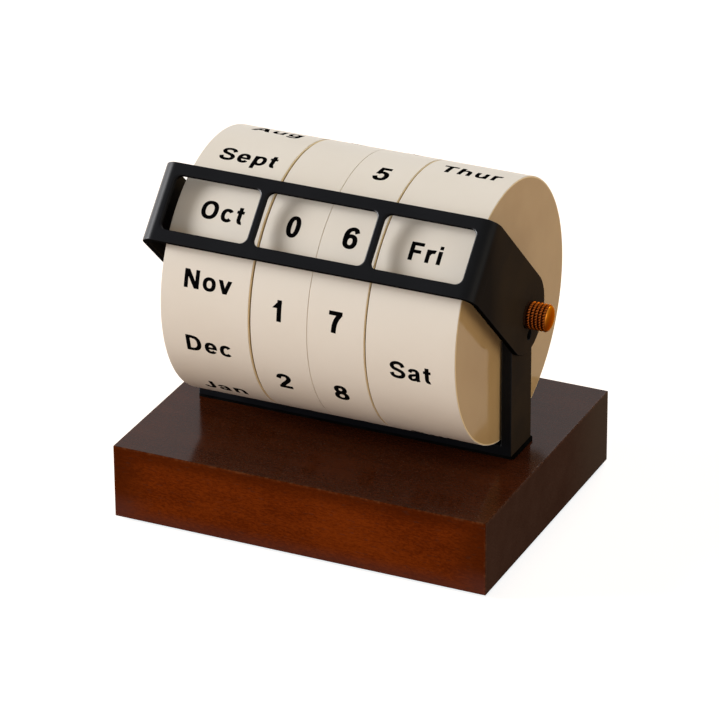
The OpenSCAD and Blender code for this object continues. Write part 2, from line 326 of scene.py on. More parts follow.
@dataclass(frozen=True)
class LacqueredWood(Finish):
    """Red-brown stained wood under clear lacquer, with edges lightened by wear and a painted highlight."""

    half: tuple[float, float]
    top: float
    front_dark: Colour = rgb(0.084, 0.0119, 0.0011)
    front_light: Colour = rgb(0.176, 0.0295, 0.0030)
    # The front turns towards these two colours near its upper and lower edges
    front_edge_top: Colour = rgb(0.050, 0.0085, 0.0012)
    front_edge_low: Colour = rgb(0.072, 0.024, 0.018)
    top_dark: Colour = rgb(0.027, 0.0058, 0.0015)
    top_light: Colour = rgb(0.057, 0.0128, 0.0034)
    end_dark: Colour = rgb(0.047, 0.0232, 0.0168)
    end_light: Colour = rgb(0.067, 0.037, 0.0284)
    end_far: Colour = rgb(0.073, 0.0533, 0.043)
    # Edge wear with a painted highlight: lighter colour on the block's rounded edges
    wear_and_highlight: Colour = rgb(0.30, 0.13, 0.055)
    streaks: Grain = Grain((22, 190, 190), 5, 0.6)
    streak_share: float = 0.25
    blotches: Grain = Grain((38, 60, 60), 3)
    blotch_share: float = 0.30
    fibres: Grain = Grain((900, 2600, 2600), 3, 0.65)
    fibre_share: float = 0.60
    tone_drop: float = 0.075
    tone_span: Span = (0.34, 0.68)
    pores: Grain = Grain((300, 1500, 1500))
    pore_span: Span = (0.60, 0.74)
    pore_stain: float = 0.35
    pore_sink: float = -0.6
    front_edge_fade: Span = (11 * MM, 3 * MM)
    side_darkening: Span = (16 * MM, 0.0)
    side_share: float = 0.75
    level_darkening: Span = (5 * MM, 12 * MM)
    level_share: float = 0.65
    far_fade: Span = (10 * MM, 47 * MM)
    turn_span: Span = (0.4, 0.8)
    edge_wear_and_highlight: Span = (0.9 * MM, 0.35 * MM)
    chips: Grain = Grain.even(700, 4, 0.7)
    chip_span: Span = (0.40, 0.75)
    chip_share: float = 0.18
    flat_span: Span = (0.30, 0.05)
    sheen: Sheen = Sheen(0.42, 0.16)
    lacquer: float = 0.45
    lacquer_rough: float = 0.16
    lacquer_ior: float = 1.5
    relief: Relief = Relief(0.05 * MM, 0.35)

    def shade(self, graph: Graph) -> None:
        """Colours the front, the top and the ends apart, lightens the edges with wear and a painted
        highlight, and lacquers the top.

        The front is darker towards its sides and its upper and lower edges.
        """
        place = graph.node("ShaderNodeTexCoord")
        along, across, up = graph.split(place.outputs["Object"])
        facing_x, facing_y, _ = graph.split(place.outputs["Normal"])
        streaks, blotches = graph.noise(self.streaks), graph.noise(self.blotches)
        fibres = graph.noise(self.fibres)
        pores = graph.noise(self.pores).step(*self.pore_span)
        figure = streaks * self.streak_share + blotches * self.blotch_share + fibres * self.fibre_share
        tone = (figure - self.tone_drop).step(*self.tone_span)
        to_side = self.half[0] - abs(along)
        to_front = self.half[1] - abs(across)
        to_top = self.top - up
        front_edge = graph.mix(up.step(*self.front_edge_fade), self.front_edge_top, self.front_edge_low)
        side_darkening = to_side.step(*self.side_darkening) * self.side_share
        level_darkening = abs(up - self.top / 2).step(*self.level_darkening) * self.level_share
        front = graph.mix(tone, self.front_dark, self.front_light)
        front = graph.mix(side_darkening.high(level_darkening), front, front_edge)
        flat = graph.mix(tone, self.top_dark, self.top_light)
        end = graph.mix(tone, self.end_dark, self.end_light)
        end = graph.mix(across.step(*self.far_fade), end, self.end_far)
        face_tone = graph.mix(abs(facing_y).step(*self.turn_span), flat, front)
        face_tone = graph.mix(abs(facing_x).step(*self.turn_span), face_tone, end)
        face_tone = graph.mix(pores * self.pore_stain, face_tone, self.end_dark)
        nearest = (to_side + to_front).low(to_side + to_top).low(to_front + to_top)
        # Edge wear and painted highlight along the edges, broken up by chips
        wear = nearest.step(*self.edge_wear_and_highlight) * graph.noise(self.chips).step(*self.chip_span)
        gloss = abs(facing_y).high(abs(facing_x)).step(*self.flat_span)
        graph.principled({
            "Base Color": graph.mix(wear * self.chip_share, face_tone, self.wear_and_highlight),
            "Roughness": self.sheen.over(fibres),
            "Specular IOR Level": 0.0,
            "Coat Weight": gloss * self.lacquer,
            "Coat Roughness": self.lacquer_rough,
            "Coat IOR": self.lacquer_ior,
            "Normal": graph.bump(fibres + pores * self.pore_sink, self.relief),
        })


@dataclass(frozen=True)
class Coated(Finish):
    """Metal under a satin black coat, thin and slightly orange-peeled."""

    colour: Colour = rgb(0.0062, 0.0066, 0.0080)
    # Painted warm reflection on the outward ends, browner towards the back
    warm_reflection_tint: Colour = rgb(0.0331, 0.0241, 0.0165)
    # Painted shade: near black on the faces that turn down
    under: Colour = rgb(0.0012, 0.0012, 0.0012)
    # Painted highlight on the edges that turn to the left
    wear_and_highlight: Colour = rgb(0.070, 0.072, 0.080)
    half: float = 51.3 * MM
    outward: Span = (0.80, 0.97)
    downward: Span = (-0.30, -0.60)
    leftward: Span = (-0.15, -0.45)
    short_of_left: Span = (-0.97, -0.80)
    behind_front: Span = (-36 * MM, -16 * MM)
    front_share: float = 0.35
    mottle: Grain = Grain.even(55, 3, 0.6)
    mottle_span: Span = (0.35, 0.75)
    mottle_share: float = 0.4
    dust: Grain = Grain.even(5200, 1)
    dust_span: Span = (0.70, 0.80)
    dust_share: float = 0.3
    lighten: float = 1.9
    windows: Span = (47 * MM, 45 * MM)
    edge_highlight: float = 0.6
    window_highlight: float = 0.4
    sheen: Sheen = Sheen(0.33, 0.14)
    gloss: float = 0.12
    polish: float = 0.60
    dulling: float = 0.9
    gloss_rough: float = 0.34
    peel: Grain = Grain.even(1500)
    relief: Relief = Relief(0.02 * MM, 0.4)

    def shade(self, graph: Graph) -> None:
        """Lays a faint mottle, an orange peel and fine dust into the coat.

        Its outward ends carry a painted warm reflection, browner towards the back, and faces that turn down
        are painted near black as shade.
        It is glossier on the edges that turn to the left, with a painted highlight there, most of all round
        the windows.
        """
        place = graph.node("ShaderNodeTexCoord")
        along, across, _ = graph.split(place.outputs["Object"])
        facing_x, _, facing_z = graph.split(place.outputs["Normal"])
        sideways = (facing_x * along / self.half).step(*self.outward)
        # Faces that turn down take painted shade and lose their coat
        shaded_below = facing_z.step(*self.downward)
        # Edges that turn to the left get more gloss and a painted highlight, most of all round the windows
        left_lit_edges = facing_x.step(*self.leftward) * facing_x.step(*self.short_of_left)
        mottle, peel = graph.noise(self.mottle), graph.noise(self.peel)
        dust = graph.noise(self.dust).step(*self.dust_span)
        # Painted warm reflection on the outward ends
        warm_reflection = sideways * across.step(*self.behind_front).high(self.front_share)
        coat = graph.mix(warm_reflection, self.colour, self.warm_reflection_tint)
        speckle = mottle.step(*self.mottle_span) * self.mottle_share + dust * self.dust_share
        lighter = tuple(self.lighten * part for part in self.colour[:3]) + (1.0,)
        body = graph.mix(speckle, coat, lighter)
        at_windows = abs(along).step(*self.windows)
        body = graph.mix(left_lit_edges * (self.edge_highlight + at_windows * self.window_highlight), body, self.wear_and_highlight)
        clear = 1.0 - sideways.high(shaded_below) * self.dulling
        graph.principled({
            "Base Color": graph.mix(shaded_below, body, self.under),
            "Roughness": self.sheen.over(mottle),
            "Specular IOR Level": 0.0,
            "Coat Weight": (self.gloss + left_lit_edges * self.polish) * clear,
            "Coat Roughness": self.gloss_rough,
            "Normal": graph.bump(peel, self.relief),
        })


@dataclass(frozen=True)
class Film(Finish):
    """The ivory printed band: satin film with faint handling marks."""

    colour: Colour = rgb(0.760, 0.706, 0.630)
    dull: Colour = rgb(0.718, 0.655, 0.570)
    clouds: Grain = Grain.even(45, 3, 0.55)
    cloud_span: Span = (0.35, 0.75)
    cloud_share: float = 0.45
    specks: Grain = Grain.even(900, 1)
    speck_span: Span = (0.76, 0.83)
    speck_share: float = 0.3
    tooth: Grain = Grain.even(2600, 2, 0.6)
    sheen: Sheen = Sheen(0.34, 0.10)
    specular: float = 0.20
    relief: Relief = Relief(0.012 * MM, 0.4)

    def shade(self, graph: Graph) -> None:
        """Lays clouds, specks and a paper tooth into the film."""
        clouds = graph.noise(self.clouds)
        specks = graph.noise(self.specks).step(*self.speck_span)
        marks = clouds.step(*self.cloud_span) * self.cloud_share + specks * self.speck_share
        graph.principled({
            "Base Color": graph.mix(marks, self.colour, self.dull),
            "Roughness": self.sheen.over(clouds),
            "Specular IOR Level": self.specular,
            "Normal": graph.bump(graph.noise(self.tooth), self.relief),
        })


@dataclass(frozen=True)
class Moulded(Finish):
    """Tan moulded plastic of the drums, with a painted highlight on the rim."""

    axle_z: float
    lit_rim_from: float
    lit_rim_fade: float = 0.2 * MM
    colour: Colour = rgb(0.520, 0.367, 0.185)
    deep: Colour = rgb(0.446, 0.300, 0.140)
    # Painted highlight: the pale colour of the drums' outer rims and seams
    rim: Colour = rgb(0.86, 0.70, 0.42)
    flow: Grain = Grain.even(30, 3, 0.55)
    flow_span: Span = (0.3, 0.75)
    grain: Grain = Grain.even(2200)
    sheen: Sheen = Sheen(0.30, 0.12)
    gloss: float = 0.30
    gloss_rough: float = 0.12
    relief: Relief = Relief(0.01 * MM, 0.3)

    def shade(self, graph: Graph) -> None:
        """Lays flow marks and a fine grain into the plastic and paints a highlight on the rim."""
        _, across, up = graph.split(graph.coordinates())
        lift = up - self.axle_z
        radius = (across * across + lift * lift).root()
        flow = graph.noise(self.flow)
        body = graph.mix(flow.step(*self.flow_span), self.colour, self.deep)
        # Painted highlight on the outer rim
        edge = radius.step(self.lit_rim_from, self.lit_rim_from + self.lit_rim_fade)
        graph.principled({
            "Base Color": graph.mix(edge, body, self.rim),
            "Roughness": self.sheen.over(flow),
            "Specular IOR Level": 0.0,
            "Coat Weight": self.gloss,
            "Coat Roughness": self.gloss_rough,
            "Normal": graph.bump(graph.noise(self.grain), self.relief),
        })


@dataclass(frozen=True)
class Ink(Finish):
    """Black printing ink with tiny uneven spots."""

    colour: Colour = rgb(0.0015, 0.0015, 0.0018)
    thin: Colour = rgb(0.005, 0.0047, 0.0047)
    cover: Grain = Grain.even(1400, 2, 0.6)
    thin_span: Span = (0.45, 0.75)
    sheen: Sheen = Sheen(0.38, 0.16)

    def shade(self, graph: Graph) -> None:
        """Varies the ink's cover and gloss a little."""
        cover = graph.noise(self.cover)
        graph.principled({
            "Base Color": graph.mix(cover.step(*self.thin_span), self.colour, self.thin),
            "Roughness": self.sheen.over(cover),
            "Specular IOR Level": 0.0,
        })


@dataclass(frozen=True)
class Brass(Finish):
    """Amber lacquered brass, with painted shade down in the knurl and painted light on its cap."""

    axle_z: float
    groove: float
    crest: float
    tip: float
    # Painted light and shade on the cap: the first colour where it faces up and to the front, the second
    # where it faces down and back
    lit_cap: Colour = rgb(0.43, 0.142, 0.013)
    low: Colour = rgb(0.11, 0.022, 0.002)
    edge: Colour = rgb(0.95, 0.52, 0.16)
    worn: Colour = rgb(0.215, 0.050, 0.008)
    # Painted shade down in the knurl's grooves
    groove_shade: Colour = rgb(0.055, 0.012, 0.002)
    wear: Grain = Grain.even(700, 3, 0.6)
    wear_share: float = 0.3
    turned: Grain = Grain((9000, 300, 300))
    below_tip: float = 0.05 * MM
    past_tip: float = 0.15 * MM
    below_groove: float = 0.1 * MM
    crest_share: float = 0.85
    knurl_span: Span = (0.15, 1.0)
    front_pull: float = 0.3
    lit_span: Span = (-0.10, 0.85)
    sheen: Sheen = Sheen(0.20, 0.16)
    relief: Relief = Relief(0.01 * MM, 0.3)

    def shade(self, graph: Graph) -> None:
        """Paints shade into the grooves and onto the cap's underside, paints light onto the cap's top and
        front, and lays turning marks on the metal.
        """
        place = graph.node("ShaderNodeTexCoord")
        along, across, up = graph.split(place.outputs["Object"])
        _, facing_y, facing_z = graph.split(place.outputs["Normal"])
        lift = up - self.axle_z
        radius = (across * across + lift * lift).root()
        wear = graph.noise(self.wear)
        cap = abs(along).step(self.tip - self.below_tip, self.tip + self.past_tip)
        raised = radius.step(self.groove - self.below_groove, self.crest)
        height = raised * self.crest_share + wear * self.wear_share
        # Painted shade in the grooves, lighter on the worn crests
        knurl = graph.mix(height.step(*self.knurl_span), self.groove_shade, self.worn)
        # Painted light and shade on the cap, by which way it faces
        lit = (facing_z - facing_y * self.front_pull).step(*self.lit_span)
        graph.principled({
            "Base Color": graph.mix(cap, knurl, graph.mix(lit, self.low, self.lit_cap)),
            "Metallic": 1.0,
            "Specular Tint": self.edge,
            "Roughness": self.sheen.over(wear),
            "Normal": graph.bump(graph.noise(self.turned), self.relief),
        })


@dataclass(frozen=True)
class Steel(Finish):
    """Turned steel with fine rings along its length."""

    colour: Colour = rgb(0.46, 0.46, 0.47)
    dull: Colour = rgb(0.31, 0.31, 0.32)
    rings: Grain = Grain((7000, 60, 60))
    cloud: Grain = Grain.even(120, 3, 0.6)
    cloud_span: Span = (0.35, 0.7)
    sheen: Sheen = Sheen(0.28, 0.2)
    relief: Relief = Relief(0.01 * MM, 0.35)

    def shade(self, graph: Graph) -> None:
        """Lays turning rings and a cloudy polish on the metal."""
        cloud = graph.noise(self.cloud)
        graph.principled({
            "Base Color": graph.mix(cloud.step(*self.cloud_span), self.colour, self.dull),
            "Metallic": 1.0,
            "Roughness": self.sheen.over(cloud),
            "Normal": graph.bump(graph.noise(self.rings), self.relief),
        })


@dataclass(frozen=True)
class SoftGrain(Finish):
    """A dull grained finish: felt, rubber or nylon, by its grain and colours."""

    colour: Colour
    light: Colour
    grain: float
    depth: float
    rough: float
    specular: float = 0.2
    broader: float = 14.0
    fine_share: float = 0.6
    broad_share: float = 0.5
    light_span: Span = (0.4, 0.75)
    rough_spread: float = 0.06
    strength: float = 0.7
    octaves: float = 3.0
    fine_weight: float = 0.7

    def shade(self, graph: Graph) -> None:
        """Lays two sizes of the same grain into the surface."""
        fine = graph.noise(Grain.even(self.grain, self.octaves, self.fine_weight))
        broad = graph.noise(Grain.even(self.grain / self.broader))
        share = (fine * self.fine_share + broad * self.broad_share).step(*self.light_span)
        sheen = Sheen(self.rough - self.rough_spread, 2 * self.rough_spread)
        graph.principled({
            "Base Color": graph.mix(share, self.colour, self.light),
            "Roughness": sheen.over(fine),
            "Specular IOR Level": self.specular,
            "Normal": graph.bump(fine, Relief(self.depth, self.strength)),
        })


def middle(node: str) -> Vector:
    """Returns the middle of a CAD node's box."""
    low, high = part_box(node)
    return (low + high) / 2


def turned_point(x: float, radius: float, angle: float, axle_z: float) -> Vector:
    """Places a point round the axle.

    Args:
        x: Place along the axle.
        radius: Distance from the axle.
        angle: Angle above the front horizon.
        axle_z: Height of the axle.

    Returns:
        The point in the frame.
    """
    return Vector((x, -radius * math.cos(angle), axle_z + radius * math.sin(angle)))


def arc_points(centre: Point, radius: float, start: float, stop: float, count: int) -> list[Point]:
    """Returns points along an arc, with angles in degrees."""
    angles = (math.radians(start + (stop - start) * i / count) for i in range(count + 1))
    return [(centre[0] + radius * math.cos(a), centre[1] + radius * math.sin(a)) for a in angles]


def lathe(profile: Sequence[Point], axle_z: float, steps: int, closed: bool) -> bmesh.types.BMesh:
    """Turns a profile round the axle.

    Args:
        profile: Places along the axle with their radii.
        axle_z: Height of the axle.
        steps: Facets round the full turn.
        closed: True if the profile's last point joins its first.

    Returns:
        The turned solid.
    """
    bm = bmesh.new()
    line = [bm.verts.new((x, 0, axle_z + radius)) for x, radius in profile]
    ends = zip(line, line[1:] + line[:1] if closed else line[1:])
    edges = [bm.edges.new(pair) for pair in ends]
    bmesh.ops.spin(
        bm, geom=line + edges, cent=(0, 0, axle_z), axis=(1, 0, 0),
        angle=FULL_TURN, steps=steps, use_merge=True,
    )
    bmesh.ops.remove_doubles(bm, verts=bm.verts, dist=MERGE)
    bmesh.ops.recalc_face_normals(bm, faces=bm.faces)
    return bm


def round_edges(bm: bmesh.types.BMesh, radius: float, segments: int, sharper_than: float = 30.0) -> None:
    """Rounds the edges of a solid that are sharper than an angle in degrees."""
    limit = math.radians(sharper_than)
    sharp = [e for e in bm.edges if len(e.link_faces) == 2 and e.calc_face_angle() > limit]
    bmesh.ops.bevel(
        bm, geom=sharp, offset=radius, offset_type="OFFSET", segments=segments, profile=0.5,
        affect="EDGES", clamp_overlap=True, material=-1,
    )


class SubAssembly:
    """Base of the sub-assemblies: each builds its meshes, then dresses them."""

    def build(self) -> None:
        """Makes the meshes."""
        raise NotImplementedError

    def dress(self) -> None:
        """Gives each piece its finish."""
        raise NotImplementedError

    def add(
        self, bm: bmesh.types.BMesh, name: str, body: str, slot: str | None, stands_for: Iterable[str] = (),
        crease: float = 40.0,
    ) -> bpy.types.Object:
        """Makes an object of a finished mesh and lets it ride on its body.

        Args:
            bm: The mesh, which is freed.
            name: The piece's name.
            body: The body that carries it.
            slot: A material slot's name, which is not used.
            stands_for: The CAD nodes that it replaces.
            crease: Edges sharper than this many degrees stay sharp.

        Returns:
            The new object.
        """
        mesh = bpy.data.meshes.new(name)
        bm.to_mesh(mesh)
        bm.free()
        mesh.shade_smooth()
        mesh.set_sharp_from_angle(angle=math.radians(crease))
        piece = bpy.data.objects.new(name, mesh)
        bpy.context.scene.collection.objects.link(piece)
        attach(piece, body)
        nodes = tuple(stands_for)
        if nodes:
            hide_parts(*nodes)
        LOG.info("%s: %d faces on %s", name, len(mesh.polygons), body)
        return piece

    @staticmethod
    def even_shading(piece: bpy.types.Object) -> None:
        """Keeps broad flats flat beside their rounded edges."""
        made = piece.modifiers.new("even_shading", "WEIGHTED_NORMAL")
        made.keep_sharp = True

    @staticmethod
    def paint(piece: bpy.types.Object, finish: Finish) -> None:
        """Gives a piece or a CAD node one finish."""
        piece.data.materials.clear()
        piece.data.materials.append(finish.material())


@dataclass
class Base(SubAssembly):
    """The lacquered block, and the felt under it."""

    edge: float = 0.3 * MM
    segments: int = 4

    def build(self) -> None:
        """Makes the block from a cube with its edges rounded."""
        low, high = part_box("wood_base")
        size = high - low
        bm = bmesh.new()
        bmesh.ops.create_cube(bm, size=1.0)
        bmesh.ops.scale(bm, vec=size, verts=bm.verts)
        bmesh.ops.translate(bm, vec=(low + high) / 2, verts=bm.verts)
        round_edges(bm, self.edge, self.segments)
        self.block = self.add(bm, "wood_block", "stand", "wood", ["wood_base"])
        self.even_shading(self.block)
        self.half = (size.x / 2, size.y / 2)
        self.top = high.z

    def dress(self) -> None:
        """Lacquers the block and gives the felt its nap."""
        self.paint(self.block, LacqueredWood("lacquered_wood", self.half, self.top))
        felt = SoftGrain(
            "felt_nap", rgb(0.020, 0.022, 0.022), rgb(0.052, 0.055, 0.054),
            grain=3200, depth=0.25 * MM, rough=0.95,
        )
        self.paint(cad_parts["base_felt"], felt)


@dataclass
class Bracket(SubAssembly):
    """The flat bar bent round the drums, its pad and its screws."""

    bar: float = 3.3 * MM
    edge: float = 0.3 * MM
    segments: int = 3
    arc_steps: int = 40
    mouth_share: float = 0.75
    near: float = 0.01 * MM

    def build(self) -> None:
        """Makes one upright with its round top, mirrors it and bridges the strap between the two."""
        low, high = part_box("bracket")
        half = (high.y - low.y) / 2
        axle_z = middle("axle").z
        inner = high.x - self.bar
        bm = bmesh.new()
        feet = [bm.verts.new((inner, y, low.z)) for y in (-half, half)]
        tip = bm.verts.new((inner, half, axle_z))
        spun = bmesh.ops.spin(
            bm, geom=[tip], cent=(inner, 0, axle_z), axis=(1, 0, 0), angle=math.pi,
            steps=self.arc_steps, use_merge=False,
        )
        last = next(part for part in spun["geom_last"] if isinstance(part, bmesh.types.BMVert))
        for pair in ((feet[1], tip), (last, feet[0]), (feet[0], feet[1])):
            bm.edges.new(pair)
        face = bmesh.ops.contextual_create(bm, geom=bm.edges[:])["faces"]
        grown = bmesh.ops.extrude_face_region(bm, geom=face, use_keep_orig=True)["geom"]
        moved = [part for part in grown if isinstance(part, bmesh.types.BMVert)]
        bmesh.ops.translate(bm, vec=(self.bar, 0, 0), verts=moved)
        bmesh.ops.bisect_plane(
            bm, geom=bm.verts[:] + bm.edges[:] + bm.faces[:], dist=MERGE,
            plane_co=(0, 0, low.z + self.bar), plane_no=(0, 0, 1),
        )
        bmesh.ops.mirror(bm, geom=bm.verts[:] + bm.edges[:] + bm.faces[:], merge_dist=0, axis="X")
        foot_z = low.z + self.bar * self.mouth_share
        centres = [(f, f.calc_center_median()) for f in bm.faces]
        mouths = [f for f, c in centres if abs(abs(c.x) - inner) < self.near and c.z < foot_z]
        rims = [edge for f in mouths for edge in f.edges]
        bmesh.ops.delete(bm, geom=mouths, context="FACES_ONLY")
        bmesh.ops.bridge_loops(bm, edges=rims)
        bmesh.ops.recalc_face_normals(bm, faces=bm.faces)
        round_edges(bm, self.edge, self.segments)
        self.bar_piece = self.add(bm, "bent_bar", "stand", "black_metal", ["bracket"])
        self.even_shading(self.bar_piece)

    def dress(self) -> None:
        """Coats the bar, and finishes the pad and the screws."""
        self.paint(self.bar_piece, Coated("bracket_coat"))
        rubber = SoftGrain(
            "black_rubber", rgb(0.002, 0.002, 0.002), rgb(0.006, 0.006, 0.006),
            grain=2600, depth=0.04 * MM, rough=0.7, specular=0.0,
        )
        self.paint(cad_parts["bracket_pad"], rubber)
        self.paint(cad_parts["bracket_screws"], Steel("screw_steel"))


@dataclass(frozen=True)
class Cut:
    """One rounded cut through the flat sheet.

    Attributes:
        u: Its middle along the strip.
        v: Its middle across the strip.
        half_u: Half its length along the strip.
        half_v: Half its length across the strip.
        corner: Its corner radius.
        edge: The rounding of its edges.
        side: 1 for a hole and -1 for the outline.
    """

    u: float
    v: float
    half_u: float
    half_v: float
    corner: float
    edge: float
    side: int = 1

    def eased(self, by: float) -> "Cut":
        """Returns the cut drawn back into the sheet by a length."""
        more = self.side * by
        return replace(
            self, half_u=self.half_u + more, half_v=self.half_v + more, corner=self.corner + more
        )


@dataclass
class WindowFrame(SubAssembly):
    """The bent black frame with its three windows and two ears."""

    reading: float = math.radians(44.2)
    sheet: float = 1.9 * MM
    bend_in: float = 3.0 * MM
    half_strip: float = 12.35 * MM
    window_low: float = -8.45 * MM
    window_high: float = 8.65 * MM
    window_spans: tuple[Point, ...] = (
        (-47.6 * MM, -19.8375 * MM), (-17.7375 * MM, 17.3375 * MM), (19.4375 * MM, 48.0 * MM)
    )
    window_round: float = 2.2 * MM
    axle_hole: float = 2.55 * MM
    pin_hole: float = 1.58 * MM
    pin_drop: float = 7.0 * MM
    pin_back: float = 1.0 * MM
    edge: float = 0.3 * MM
    window_edge: float = 0.6 * MM
    hole_edge: float = 0.2 * MM
    edge_steps: int = 6
    corner_steps: int = 10
    bend_steps: int = 16

    def build(self) -> None:
        """Cuts the flat strip with rounded edges, then bends it round the bracket."""
        _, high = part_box("window_frame")
        self.axle_z = middle("axle").z
        self.bend_x = high.x - self.bend_in - self.sheet
        self.bend_n = self._plate_distance(high.z) - self.bend_in - self.sheet
        self.mid_r = self.bend_in + self.sheet / 2
        self.ear_u = self.bend_x + self.mid_r * math.pi / 2
        ear_end = self.ear_u + self.bend_n
        bm = bmesh.new()
        wide = self.half_strip
        cuts = [Cut(0.0, 0.0, ear_end + wide, wide, wide, self.edge, -1)]
        cuts += [self._window(left, right) for left, right in self.window_spans]
        lean, stand = math.cos(self.reading), math.sin(self.reading)
        pin_u = ear_end + self.pin_drop * stand + self.pin_back * lean
        pin_v = self.pin_back * stand - self.pin_drop * lean
        for side in (-1, 1):
            cuts.append(self._hole(side * ear_end, 0.0, self.axle_hole))
            cuts.append(self._hole(side * pin_u, pin_v, self.pin_hole))
        tops, bottoms = [], []
        for cut in cuts:
            loops = self._wall(bm, cut)
            bottoms += loops[0]
            tops += loops[-1]
        for rims in (bottoms, tops):
            bmesh.ops.triangle_fill(bm, use_beauty=True, use_dissolve=False, edges=rims)
        bmesh.ops.recalc_face_normals(bm, faces=bm.faces)
        self._bend(bm)
        bmesh.ops.recalc_face_normals(bm, faces=bm.faces)
        self.piece = self.add(
            bm, "window_sheet", "stand", "black_metal", ["window_frame"], crease=50.0
        )
        self.even_shading(self.piece)

    def _plate_distance(self, highest: float) -> float:
        """Returns how far the plate's outer face lies from the axle, from the frame's highest edge."""
        return (highest - self.axle_z - self.half_strip * math.cos(self.reading)) / math.sin(self.reading)

    def _window(self, left: float, right: float) -> Cut:
        """Returns the cut of one window, from its two ends along the strip."""
        return Cut(
            (left + right) / 2, (self.window_low + self.window_high) / 2, (right - left) / 2,
            (self.window_high - self.window_low) / 2, self.window_round, self.window_edge,
        )

    def _hole(self, u: float, v: float, radius: float) -> Cut:
        """Returns the cut of a round hole."""
        return Cut(u, v, radius, radius, radius, self.hole_edge)

    def _wall(self, bm: bmesh.types.BMesh, cut: Cut) -> list[list[bmesh.types.BMEdge]]:
        """Bridges the loops of one cut through the flat sheet, with rounded edges.

        Args:
            bm: The flat sheet.
            cut: The cut.

        Returns:
            The edges of each loop, from the inner face to the outer.
        """
        quarter = [i * math.pi / 2 / self.edge_steps for i in range(self.edge_steps + 1)]
        levels = [(cut.edge * (1 - math.sin(a)), cut.edge * (1 - math.cos(a))) for a in quarter]
        levels += [(grow, self.sheet - rise) for grow, rise in reversed(levels)]
        loops = [self._loop(bm, cut.eased(grow), lift) for grow, lift in levels]
        for first, second in zip(loops, loops[1:]):
            bmesh.ops.bridge_loops(bm, edges=first + second)
        return loops

    def _loop(self, bm: bmesh.types.BMesh, cut: Cut, lift: float) -> list[bmesh.types.BMEdge]:
        """Draws one closed loop: a circle whose quarters are moved apart.

        Args:
            bm: The flat sheet.
            cut: The cut that the loop goes round.
            lift: Its height over the sheet's inner face.

        Returns:
            The loop's edges.
        """
        count = 4 * self.corner_steps
        turn = Matrix.Rotation(math.pi / count, 4, "Z")
        made = bmesh.ops.create_circle(
            bm, cap_ends=False, segments=count, radius=cut.corner, matrix=turn
        )
        for vert in made["verts"]:
            vert.co.x += cut.u + math.copysign(cut.half_u - cut.corner, vert.co.x)
            vert.co.y += cut.v + math.copysign(cut.half_v - cut.corner, vert.co.y)
            vert.co.z = lift
        return list(dict.fromkeys(edge for vert in made["verts"] for edge in vert.link_edges))

    def _bend(self, bm: bmesh.types.BMesh) -> None:
        """Cuts the sheet along its bends and folds it into place."""
        for side in (-1, 1):
            for i in range(self.bend_steps + 1):
                u = self.bend_x + (self.ear_u - self.bend_x) * i / self.bend_steps
                bmesh.ops.bisect_plane(
                    bm, geom=bm.verts[:] + bm.edges[:] + bm.faces[:], dist=SLICE_MERGE,
                    plane_co=(side * u, 0, 0), plane_no=(1, 0, 0),
                )
        outward = Vector((0, -math.cos(self.reading), math.sin(self.reading)))
        upward = Vector((0, math.sin(self.reading), math.cos(self.reading)))
        for vert in bm.verts:
            x, reach = self._folded(abs(vert.co.x), vert.co.z)
            x = math.copysign(x, vert.co.x)
            vert.co = Vector((x, 0, self.axle_z)) + outward * reach + upward * vert.co.y

    def _folded(self, u: float, lift: float) -> Point:
        """Folds one point of the strip.

        Args:
            u: Its distance from the strip's middle.
            lift: Its height over the sheet's inner face.

        Returns:
            Its place along the axle and its distance from the axle.
        """
        radius = self.bend_in + lift
        if u <= self.bend_x:
            return u, self.bend_n + radius
        if u >= self.ear_u:
            return self.bend_x + radius, self.bend_n - (u - self.ear_u)
        turn = (u - self.bend_x) / self.mid_r
        return self.bend_x + radius * math.sin(turn), self.bend_n + radius * math.cos(turn)

    def dress(self) -> None:
        """Coats the frame and its pins."""
        self.paint(self.piece, Coated("frame_coat"))
        self.paint(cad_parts["locating_pins"], Coated("pin_coat", PIN_BLACK, PIN_BLACK))


BOLDNESS = 1.15
CAPITAL = 100


@dataclass(frozen=True)
class Bar:
    """An upright rectangle of a letter, by two corners."""

    left: float
    low: float
    right: float
    high: float

    def polygons(self) -> list[list[Point]]:
        """Returns the rectangle, bolder across its narrow side."""
        wide, tall = self.right - self.left, self.high - self.low
        grow = min(wide, tall) * (BOLDNESS - 1) / 2
        out, up = (grow, 0.0) if wide < tall else (0.0, grow)
        left, right, low, high = self.left - out, self.right + out, self.low - up, self.high + up
        return [[(left, low), (right, low), (right, high), (left, high)]]


@dataclass(frozen=True)
class Slant:
    """A slanted stroke with level ends."""

    foot: float
    low: float
    head: float
    high: float
    width: float = 21.0

    def polygons(self) -> list[list[Point]]:
        """Returns the stroke's four corners."""
        width = self.width * BOLDNESS
        out = (width - self.width) / 2
        foot, head = self.foot - out, self.head - out
        return [[
            (foot, self.low), (foot + width, self.low), (head + width, self.high), (head, self.high),
        ]]


